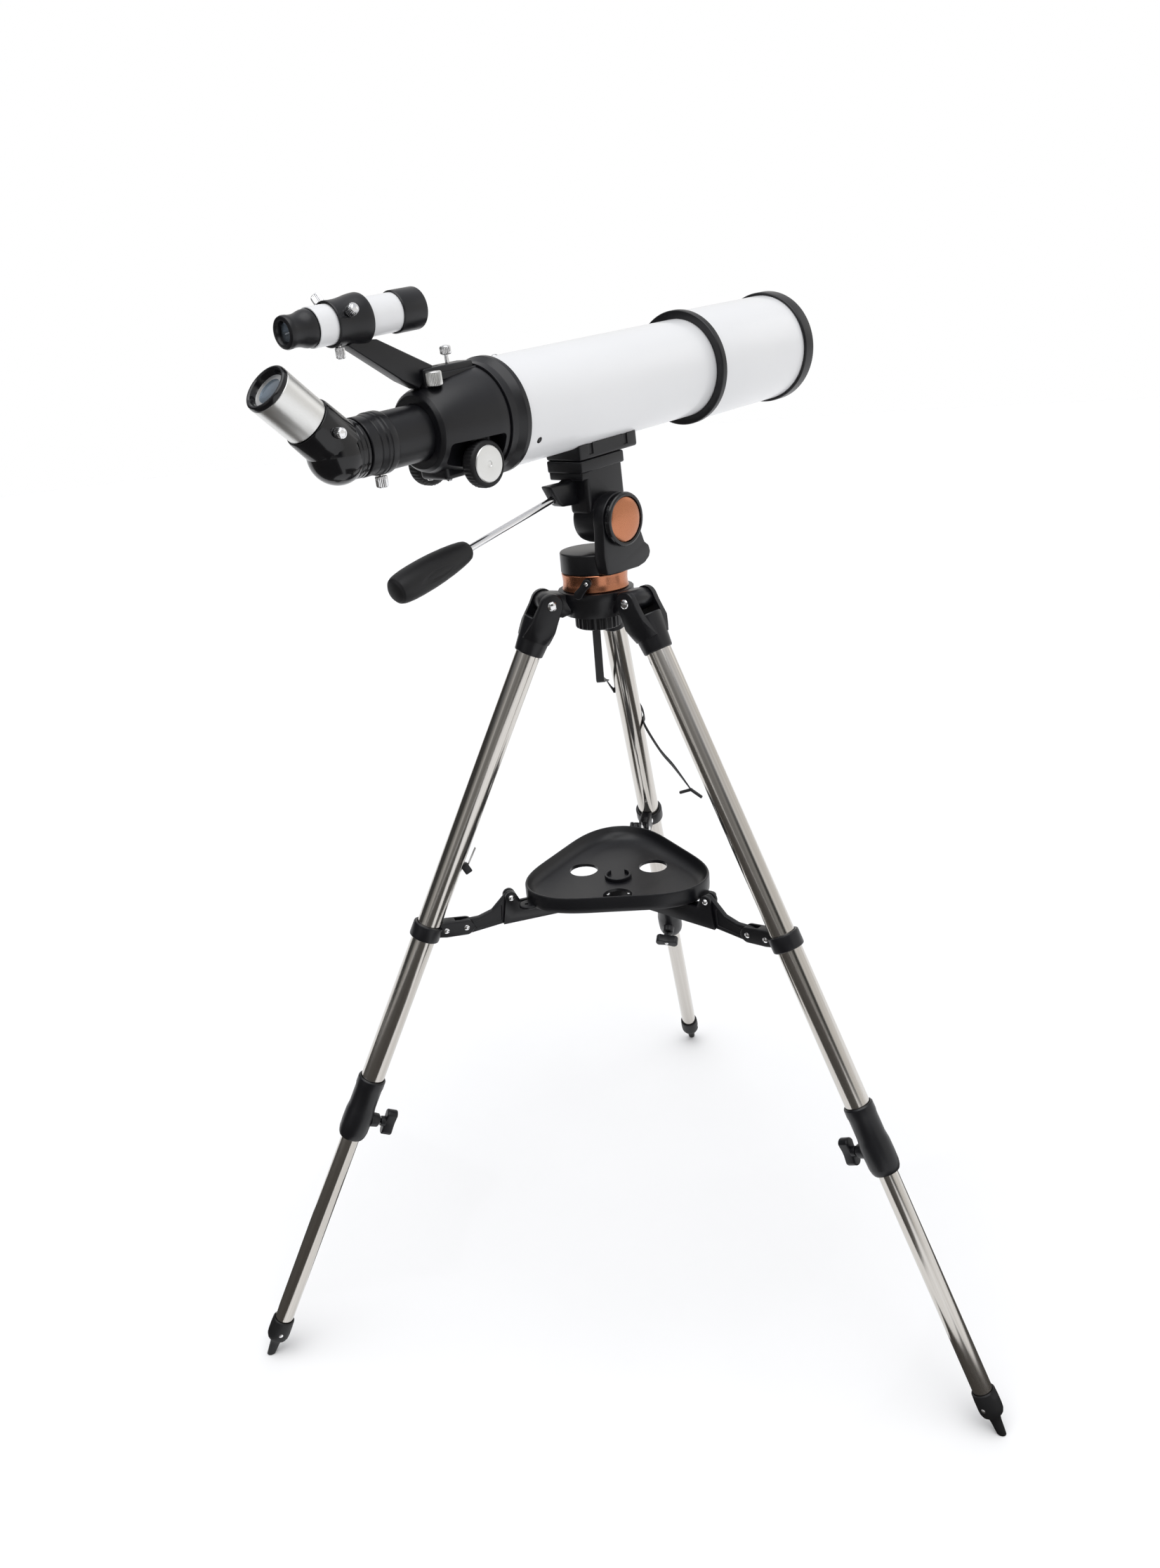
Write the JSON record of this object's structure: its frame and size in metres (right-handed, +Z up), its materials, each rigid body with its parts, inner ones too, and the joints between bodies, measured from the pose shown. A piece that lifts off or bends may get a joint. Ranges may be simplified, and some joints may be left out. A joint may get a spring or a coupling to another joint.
{
  "type": "telescope",
  "caption": "Small white refractor telescope with finder, star diagonal and eyepiece on an alt-azimuth pan head and a folding steel tripod with accessory tray.",
  "frame": {"origin": "middle of the object's floor rectangle, on the floor", "axes": "+X where the telescope looks, +Y to its left, +Z up"},
  "size_m": [0.6972, 0.6061, 0.9629],
  "materials": {
    "white_tube": "gloss white enamel",
    "black_plastic": "satin moulded black",
    "black_gloss": "polished black",
    "black_rubber": "soft black rubber",
    "stainless_steel": "polished stainless tube",
    "chrome": "plated",
    "satin_aluminium": "satin silver",
    "copper_trim": "metallic copper",
    "coated_glass": "coated lens",
    "black_strap": "moulded flexible black strap"
  },
  "bodies": {
    "hub": {"tripod_hub": "black_plastic", "azimuth_ring": "copper_trim", "hip_pin_1": "chrome", "hip_pin_2": "chrome", "hip_pin_3": "chrome", "leg_strap": "black_strap"},
    "azimuth_lock": {"azimuth_lock_screw": "black_plastic"},
    "centre_knob": {"centre_knob": "black_plastic"},
    "turntable": {"turntable": "black_plastic"},
    "telescope": {"altitude_head": "black_plastic", "tube_saddle": "black_plastic", "main_tube": "white_tube", "dew_shield_ring": "black_plastic", "dew_shield": "white_tube", "front_ring": "black_plastic", "objective_lens": "coated_glass", "rear_collar": "black_plastic", "focuser_body": "black_plastic", "finder_bracket": "black_plastic", "finder_tube": "white_tube", "finder_hood": "black_plastic"},
    "altitude_knob": {"altitude_knob": "black_plastic", "altitude_cap": "copper_trim"},
    "pan_handle": {"pan_handle_rod": "chrome", "pan_handle_grip": "black_rubber"},
    "focus_knobs": {"focus_knob_right": "black_rubber", "focus_knob_left": "black_rubber"},
    "drawtube": {"drawtube": "black_plastic", "visual_back": "black_plastic"},
    "visual_back_screw": {"visual_back_screw": "chrome"},
    "diagonal": {"diagonal": "black_gloss"},
    "diagonal_screw": {"diagonal_screw": "chrome"},
    "eyepiece": {"eyepiece": "satin_aluminium"},
    "finder_eyepiece": {"finder_eyepiece": "black_plastic"},
    "spreader": {"spreader_bracket": "black_plastic"},
    "tray": {"accessory_tray": "black_plastic"},
    "leg_1": {"leg_1_fork": "black_plastic", "leg_1_upper_tube": "stainless_steel", "leg_1_spreader_collar": "black_plastic", "leg_1_lock_collar": "black_plastic"},
    "leg_1_lower": {"leg_1_lower_tube": "stainless_steel", "leg_1_foot": "black_rubber"},
    "leg_1_lock": {"leg_1_lock_screw": "black_plastic"},
    "spreader_link_1": {"spreader_link_1": "black_plastic"},
    "leg_2": {"leg_2_fork": "black_plastic", "leg_2_upper_tube": "stainless_steel", "leg_2_spreader_collar": "black_plastic", "leg_2_lock_collar": "black_plastic"},
    "leg_2_lower": {"leg_2_lower_tube": "stainless_steel", "leg_2_foot": "black_rubber"},
    "leg_2_lock": {"leg_2_lock_screw": "black_plastic"},
    "spreader_link_2": {"spreader_link_2": "black_plastic"},
    "leg_3": {"leg_3_fork": "black_plastic", "leg_3_upper_tube": "stainless_steel", "leg_3_spreader_collar": "black_plastic", "leg_3_lock_collar": "black_plastic"},
    "leg_3_lower": {"leg_3_lower_tube": "stainless_steel", "leg_3_foot": "black_rubber"},
    "leg_3_lock": {"leg_3_lock_screw": "black_plastic"},
    "spreader_link_3": {"spreader_link_3": "black_plastic"}
  },
  "joints": [
    {"name": "azimuth", "type": "hinge", "parent": "hub", "child": "turntable", "pos_m": [0, 0.0989, 0.745], "axis": [0, 0, 1], "continuous": true},
    {"name": "azimuth_lock_turn", "type": "hinge", "parent": "hub", "child": "azimuth_lock", "pos_m": [-0.02991, 0.08495, 0.7183], "axis": [-0.9063, -0.4226, 0], "range_deg": [0, 360]},
    {"name": "centre_knob_turn", "type": "hinge", "parent": "hub", "child": "centre_knob", "pos_m": [0, 0.0989, 0.683], "axis": [0, 0, 1], "range_deg": [0, 360]},
    {"name": "altitude", "type": "hinge", "parent": "turntable", "child": "telescope", "pos_m": [0, 0.0989, 0.772], "axis": [0, -1, 0], "range_deg": [-30, 60]},
    {"name": "altitude_knob_turn", "type": "hinge", "parent": "turntable", "child": "altitude_knob", "pos_m": [0, 0.0589, 0.772], "axis": [0, 1, 0], "range_deg": [0, 360]},
    {"name": "pan_handle_turn", "type": "hinge", "parent": "telescope", "child": "pan_handle", "pos_m": [-0.0446, 0.0989, 0.7938], "axis": [-0.9764, 0, -0.216], "range_deg": [0, 360]},
    {"name": "focus_slide", "type": "slide", "parent": "telescope", "child": "drawtube", "axis": [-0.9985, 0, -0.0546], "range_m": [-0.018, 0.04]},
    {"name": "focus_turn", "type": "hinge", "parent": "telescope", "child": "focus_knobs", "pos_m": [-0.14625, 0.0989, 0.83776], "axis": [0, -1, 0], "range_deg": [-155, 335]},
    {"name": "visual_back_screw_turn", "type": "hinge", "parent": "drawtube", "child": "visual_back_screw", "pos_m": [-0.21875, 0.0989, 0.8358], "axis": [0.0546, 0, -0.9985], "range_deg": [0, 360]},
    {"name": "diagonal_turn", "type": "hinge", "parent": "drawtube", "child": "diagonal", "pos_m": [-0.22966, 0.0989, 0.86124], "axis": [0.9985, 0, 0.0546], "range_deg": [-90, 90]},
    {"name": "diagonal_screw_turn", "type": "hinge", "parent": "diagonal", "child": "diagonal_screw", "pos_m": [-0.26638, 0.07678, 0.8745], "axis": [0.0649, -0.9962, -0.0582], "range_deg": [0, 360]},
    {"name": "eyepiece_slide", "type": "slide", "parent": "diagonal", "child": "eyepiece", "axis": [-0.7447, 0, 0.6674], "range_m": [0, 0.02]},
    {"name": "finder_eyepiece_turn", "type": "hinge", "parent": "telescope", "child": "finder_eyepiece", "pos_m": [-0.26905, 0.0989, 0.94072], "axis": [0.997, 0, 0.0772], "range_deg": [-90, 90]},
    {"name": "spreader_lift", "type": "slide", "parent": "hub", "child": "spreader", "axis": [0, 0, 1], "range_m": [0, 0.0155]},
    {"name": "tray_twist", "type": "hinge", "parent": "spreader", "child": "tray", "pos_m": [0, 0.0989, 0.4308], "axis": [0, 0, 1], "range_deg": [0, 45]},
    {"name": "leg_1_fold", "type": "hinge", "parent": "hub", "child": "leg_1", "pos_m": [0.03932, 0.1216, 0.7042], "axis": [-0.5, 0.866, 0], "range_deg": [0, 7.5], "deforming": ["leg_strap"]},
    {"name": "leg_1_extend", "type": "slide", "parent": "leg_1", "child": "leg_1_lower", "axis": [0.3878, 0.2239, -0.8942], "range_m": [-0.19, 0.14]},
    {"name": "leg_1_lock_turn", "type": "hinge", "parent": "leg_1", "child": "leg_1_lock", "pos_m": [0.21618, 0.22371, 0.22938], "axis": [-0.7744, -0.4471, -0.4478], "range_deg": [0, 360]},
    {"name": "spreader_link_1_hinge", "type": "hinge", "parent": "spreader", "child": "spreader_link_1", "pos_m": [0.09223, 0.15215, 0.437], "axis": [-0.5, 0.866, 0], "range_deg": [0, 57.5]},
    {"name": "leg_2_fold", "type": "hinge", "parent": "hub", "child": "leg_2", "pos_m": [-0.03932, 0.1216, 0.7042], "axis": [-0.5, -0.866, 0], "range_deg": [0, 7.5]},
    {"name": "leg_2_extend", "type": "slide", "parent": "leg_2", "child": "leg_2_lower", "axis": [-0.3878, 0.2239, -0.8942], "range_m": [-0.19, 0.14]},
    {"name": "leg_2_lock_turn", "type": "hinge", "parent": "leg_2", "child": "leg_2_lock", "pos_m": [-0.21618, 0.22371, 0.22938], "axis": [0.7744, -0.4471, -0.4478], "range_deg": [0, 360]},
    {"name": "spreader_link_2_hinge", "type": "hinge", "parent": "spreader", "child": "spreader_link_2", "pos_m": [-0.09223, 0.15215, 0.437], "axis": [-0.5, -0.866, 0], "range_deg": [0, 57.5]},
    {"name": "leg_3_fold", "type": "hinge", "parent": "hub", "child": "leg_3", "pos_m": [0, 0.0535, 0.7042], "axis": [1, 0, 0], "range_deg": [0, 7.5]},
    {"name": "leg_3_extend", "type": "slide", "parent": "leg_3", "child": "leg_3_lower", "axis": [0, -0.4478, -0.8942], "range_m": [-0.19, 0.14]},
    {"name": "leg_3_lock_turn", "type": "hinge", "parent": "leg_3", "child": "leg_3_lock", "pos_m": [0, -0.15072, 0.22938], "axis": [0, 0.8942, -0.4478], "range_deg": [0, 360]},
    {"name": "spreader_link_3_hinge", "type": "hinge", "parent": "spreader", "child": "spreader_link_3", "pos_m": [0, -0.0076, 0.437], "axis": [1, 0, 0], "range_deg": [0, 57.5]}
  ],
  "couplings": [
    {"joint": "focus_turn", "follows": "focus_slide", "rad_per_m": 145},
    {"joint": "spreader_link_1_hinge", "follows": "leg_1_fold", "ratio": 7.65},
    {"joint": "leg_2_fold", "follows": "leg_1_fold", "ratio": 1},
    {"joint": "spreader_link_2_hinge", "follows": "leg_1_fold", "ratio": 7.65},
    {"joint": "leg_3_fold", "follows": "leg_1_fold", "ratio": 1},
    {"joint": "spreader_link_3_hinge", "follows": "leg_1_fold", "ratio": 7.65},
    {"joint": "spreader_lift", "follows": "leg_1_fold", "m_per_rad": 0.1182}
  ]
}
